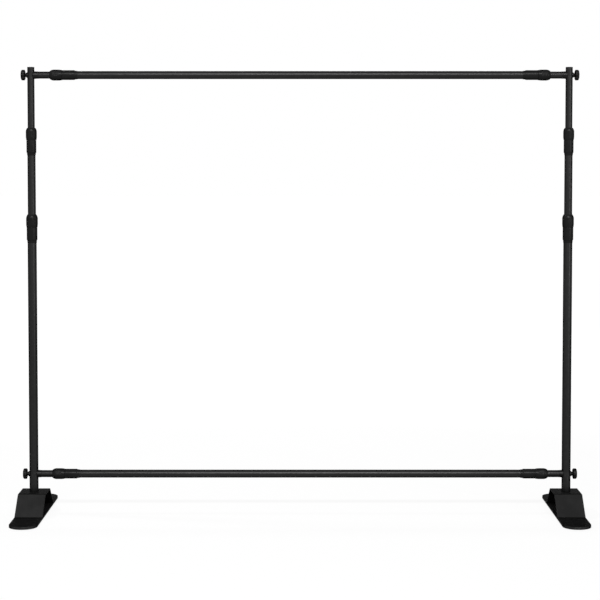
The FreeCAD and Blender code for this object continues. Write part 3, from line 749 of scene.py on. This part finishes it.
footPlan = {
    "width": 87, "length": 492, "endFlat": 1, "sheetThickness": 3,
    "plateEdge": 0.8, "sheetEdge": 0.7, "faceInset": 1.2,
    "flange": 9.5, "height": 68, "topHalf": 47, "baseHalf": 112, "bendInside": 5,
    "plateSteps": 4, "topSteps": 3, "flangeSteps": 4,
    "endSteps": 28, "bendSteps": 10, "edgeSteps": 4,
}


def tipStart(plan):
    # Where the half-round ends start, from the middle
    return plan["length"] / 2 - plan["width"] / 2 + plan["endFlat"]


def sheetOutline(straight, plan):
    # Half of a sheet's outline, the straight stations and then the tip: the distance along it,
    # half its width, and the outline's outward direction as its two parts, across and along
    radius = plan["width"] / 2 - plan["endFlat"]
    turn = np.linspace(0, math.pi / 2, plan["endSteps"] + 1)
    even = np.ones(len(straight))
    return (np.concatenate([straight, tipStart(plan) + radius * np.sin(turn)]),
            np.concatenate([even * plan["width"] / 2, plan["endFlat"] + radius * np.cos(turn)]),
            np.concatenate([even, np.cos(turn)]), np.concatenate([0 * even, np.sin(turn)]))


def bothEnds(half, sign=1):
    # Half of a row of stations, middle to tip, and its mirror image before it
    return np.concatenate([sign * half[:0:-1], half])


def slab(y, z, lean, outline, thickness, edge, plan):
    # From half of the upper face's line, y and z, and the angle by which it leans there. The
    # rim goes from the upper face, round the edge, down the side and under, and both faces are
    # ruled straight across
    half, across, along, z = (bothEnds(part) for part in (*outline, z))
    y, lean = bothEnds(y, -1), bothEnds(lean, -1)
    quarter = np.linspace(0, math.pi / 2, plan["edgeSteps"] + 1)
    rounding, falling = edge * (1 - np.sin(quarter)), edge * (1 - np.cos(quarter))
    inner = [edge + plan["faceInset"]]
    inset = np.concatenate([inner, rounding, rounding[::-1], inner])[:, None]
    depth = np.concatenate([[0], falling, thickness - falling[::-1], [thickness]])[:, None]
    rim = np.stack([half - inset * across,
                    y - inset * along * np.sign(y) - depth * np.sin(lean),
                    z - depth * np.cos(lean)], axis=-1)
    mirrored = rim * (-1, 1, 1)
    loop = np.concatenate([rim, mirrored[:, ::-1]], axis=1)
    faces = [(np.stack([rim[row], mirrored[row]]), False, False) for row in (0, -1)]
    return [(loop, False, True)] + faces


def makePlate(node, plan=footPlan):
    centre, size = boxOf(node)
    straight = np.linspace(0, tipStart(plan), plan["plateSteps"] + 1)[:-1]
    y, *outline = sheetOutline(straight, plan)
    sheets = slab(y, 0 * y, 0 * y, outline, size[2], plan["plateEdge"], plan)
    place = (centre[0], centre[1], centre[2] + size[2] / 2)
    buildPiece(node, "_cut", sheets, "foot_coat", place)


def makeBridge(node, plan=footPlan):
    # Upper face: each bend is an arc about its own centre, turning through the slope's angle
    inside, outside = plan["bendInside"], plan["bendInside"] + plan["sheetThickness"]
    height, flange = plan["height"], plan["flange"]
    slope = math.atan2(height - flange, plan["baseHalf"] - plan["topHalf"])
    turn = np.linspace(0, slope, plan["bendSteps"] + 1)
    tangent = math.tan(slope / 2)
    topY = plan["topHalf"] - outside * tangent
    creaseY = plan["baseHalf"] + inside * tangent
    flat = np.linspace(0, topY, plan["topSteps"] + 1)[:-1]
    between = np.linspace(creaseY, tipStart(plan), plan["flangeSteps"] + 1)[1:-1]
    straight = np.concatenate([flat, topY + outside * np.sin(turn),
                               creaseY - inside * np.sin(turn[::-1]), between])
    y, *outline = sheetOutline(straight, plan)
    after = np.ones(len(y) - len(flat) - 2 * len(turn))
    z = np.concatenate([0 * flat + height, height - outside * (1 - np.cos(turn)),
                        flange + inside * (1 - np.cos(turn[::-1])), after * flange])
    lean = np.concatenate([0 * flat, turn, turn[::-1], 0 * after])
    sheets = slab(y, z, lean, outline, plan["sheetThickness"], plan["sheetEdge"], plan)
    buildPiece(node, "_bent", sheets, "foot_coat", (boxOf(node)[0][0], 0, 0))


# Flanged hexagon bolt under the bridge, and the rubber pads

boltPlan = {
    "diameter": 10, "tipChamfer": 1, "acrossCorners": 18.5, "headHeight": 6.4, "chamfer": 1.1,
    "recess": 0.5, "recessInsets": (2.2, 1.6), "flatInset": 0.3, "headRoot": 0.4,
    "flangeDiameter": 21, "flangeThickness": 2,
    "flangeEdge": (0.6, 1.1, 0.8),    # its inset, and its two depths under the flange's top
    "boltEase": (0, 0.2, 0.2, 0.1, 0.1, 0.3, 0.3, 0.3, 0.1, 0.1, 0.2, 0.2, 0), "easeSteps": 3,
    "hexagonMargin": 0.3, "around": 120,
}
padPlan = {
    "diameter": 22, "thickness": 1.5, "sideInset": 20, "endInset": 40, "around": 72,
    "grooves": (4, 7), "grooveWidth": 0.9, "grooveDepth": 0.45, "grooveEdge": 0.7,
    "underInset": 0.8, "underRows": 60, "padEase": (0, 0.5, 0.15, 0),
}


def makeBolt(node, plan=boltPlan):
    centre, size = boxOf(node)
    corner, shank = plan["acrossCorners"] / 2, plan["diameter"] / 2
    flat, flange = corner * math.cos(math.pi / 6), plan["flangeDiameter"] / 2
    bottom = -plan["flangeThickness"] - plan["headHeight"]
    recess, end = bottom + plan["recess"], bottom + size[2]
    first, last = plan["recessInsets"]
    inset, low, high = plan["flangeEdge"]
    profile = softened(
        [(0, recess), (flat - first, recess), (flat - last, bottom),
         (flat - plan["flatInset"], bottom), (corner, bottom + plan["chamfer"]),
         (corner, -plan["flangeThickness"] - plan["headRoot"]), (flange - inset, -low),
         (flange, -high), (flange, 0), (shank, 0), (shank, end - plan["tipChamfer"]),
         (shank - plan["tipChamfer"], end), (0, end)],
        plan["boltEase"], closed=False, steps=plan["easeSteps"])

    def hexagonal(radius, height, angle):
        # A hexagon's outline is its flat's distance over cos(b), b from the flat's middle
        b = angle % (math.pi / 3) - math.pi / 6
        head = height < -plan["flangeThickness"] - plan["hexagonMargin"]
        return np.where(head, np.minimum(radius, flat / np.cos(b)), radius)

    place = (centre[0], 0, centre[2] - size[2] / 2 - bottom)
    buildPiece(node, "_forged", [(spin(profile, plan["around"], hexagonal), False, True)],
               "zinc_steel", place)


def makePads(node, plan=padPlan):
    radius, top = plan["diameter"] / 2, plan["thickness"]
    inner = radius - plan["underInset"]
    under = np.linspace(0, inner, plan["underRows"])
    grooves = sum(pressed(under, groove, plan["grooveWidth"], plan["grooveEdge"])
                  for groove in plan["grooves"]) * plan["grooveDepth"]
    rim = softened([(inner, 0), (radius, 0), (radius, top), (0, top)], plan["padEase"],
                   closed=False)
    disc = spin(np.concatenate([np.stack([under, grooves], axis=-1), rim]), plan["around"])
    beside = footPlan["width"] / 2 - plan["sideInset"]
    along = footPlan["length"] / 2 - plan["endInset"]
    sheets = [(disc + (x, y, 0), False, True) for x in (-beside, beside)
              for y in (-along, along)]
    buildPiece(node, "_moulded", sheets, "pad_rubber", (boxOf(node)[0][0], 0, 0))


for side in ("left", "right"):
    makePlate(side + "_base_plate")
    makeBridge(side + "_foot_bridge")
    makeBolt(side + "_post_bolt")
    makePads(side + "_foot_pads")
print("feet ready")


# The hidden bushes and inserts keep their own meshes and take the procedural finishes

for node, item in frame["nodes"].items():
    for ending, finish in (("_bush", "bush_plastic"), ("_insert", "zinc_steel")):
        if node.endswith(ending):
            item.material_slots[0].material = finishes[finish]


# Studio: a pale floor and an even white backdrop, a strip lamp high in front, and weaker lamps
# at the right, at the left and behind

studioPlan = {
    "floorReach": 40,       # metres
    "floorDrop": 0.3,       # below the pads
    "floorShade": 0.20,     # what the stand sees of the floor
    "floorGlow": 0.89,      # the floor's own white at the stand; the rest is lit and shaded
    "floorLit": 0.10,
    "glowFades": (1.6, 5),  # metres from the stand, where the floor's own white becomes full
    "fill": 0.07,           # grey light from all round
}


def seenDirectly(wire):
    # 1 for rays that show the backdrop: the camera's, and those off gloss and through glass
    outputs = wire.add("ShaderNodeLightPath").socket.node.outputs
    camera, glossy, through = (Wire(wire.tree, outputs[name]) for name in (
        "Is Camera Ray", "Is Glossy Ray", "Is Transmission Ray"))
    return wire.maths("MAXIMUM", wire.maths("MAXIMUM", camera, glossy), through)


def makeFloor(plan):
    corners = np.array([(-1, -1), (1, -1), (1, 1), (-1, 1)]) * plan["floorReach"]
    corners = np.column_stack([corners, np.full(4, -plan["floorDrop"] * mm)])
    mesh = bpy.data.meshes.new("floor")
    mesh.from_pydata(corners.tolist(), [], [(0, 1, 2, 3)])
    floor = bpy.data.objects.new("floor", mesh)
    bpy.context.scene.collection.objects.link(floor)
    material = bpy.data.materials.new("floorFinish")
    material.use_nodes = True
    tree = material.node_tree
    tree.nodes.remove(tree.nodes["Principled BSDF"])
    wire = Wire(tree)
    plain = wire.add("ShaderNodeBsdfDiffuse", {"Color": tint(plan["floorShade"])})
    dim = wire.add("ShaderNodeBsdfDiffuse", {"Color": tint(plan["floorLit"])})
    coords = wire.add("ShaderNodeTexCoord", output="Object")
    away = wire.add("ShaderNodeVectorMath", {0: coords}, output="Value", operation="LENGTH")
    near, far = plan["glowFades"]
    white = (away * (1 / far)).ramp(((near / far, plan["floorGlow"]), (1, 1)))
    glow = wire.add("ShaderNodeEmission", {"Color": tint(1), "Strength": white})
    both = wire.add("ShaderNodeAddShader", {0: dim, 1: glow})
    mixed = wire.add("ShaderNodeMixShader", {0: seenDirectly(wire), 1: plain, 2: both})
    wire.feed(tree.nodes["Material Output"].inputs["Surface"], mixed)
    # Left out of the lamps that are sampled, as its glow is for what shows it alone
    material.cycles.emission_sampling = "NONE"
    mesh.materials.append(material)


def makeWorld(plan):
    world = bpy.data.worlds.new("studioWorld")
    bpy.context.scene.world = world
    world.use_nodes = True
    wire = Wire(world.node_tree)
    back = world.node_tree.nodes["Background"]
    wire.feed(back.inputs["Color"], seenDirectly(wire).blend(tint(plan["fill"]), tint(1)))
    back.inputs["Strength"].default_value = 1.0
    # Evenly lit all round, so nothing there is sought out
    world.cycles.sampling_method = "NONE"


lampTarget = (0, 0, 0.7)    # metres, the stand's middle
lampPlans = {               # metres and watts
    "frontStrip": {"place": (0.3, -8.0, 6.0), "size": (7.0, 0.5), "power": 980},
    "sideStrip": {"place": (4.4, -4.0, 1.5), "size": (0.4, 2.4), "power": 70},
    "leftLamp": {"place": (-3.4, 0.5, 4.9), "size": (0.3, 0.3), "power": 85},
    "backLamp": {"place": (0.0, 4.8, 2.4), "size": (5.0, 0.8), "power": 150},
}


def addLamp(name, plan):
    data = bpy.data.lights.new(name, "AREA")
    data.shape = "RECTANGLE"
    data.size, data.size_y = plan["size"]
    data.energy = plan["power"]
    lamp = bpy.data.objects.new(name, data)
    lamp.location = plan["place"]
    way = Vector(lampTarget) - lamp.location
    lamp.rotation_euler = way.to_track_quat("-Z", "Y").to_euler()
    lamp.visible_camera = False
    bpy.context.scene.collection.objects.link(lamp)


makeFloor(studioPlan)
makeWorld(studioPlan)
for name, plan in lampPlans.items():
    addLamp(name, plan)
bpy.context.scene.view_settings.view_transform = "Standard"
print("studio ready")
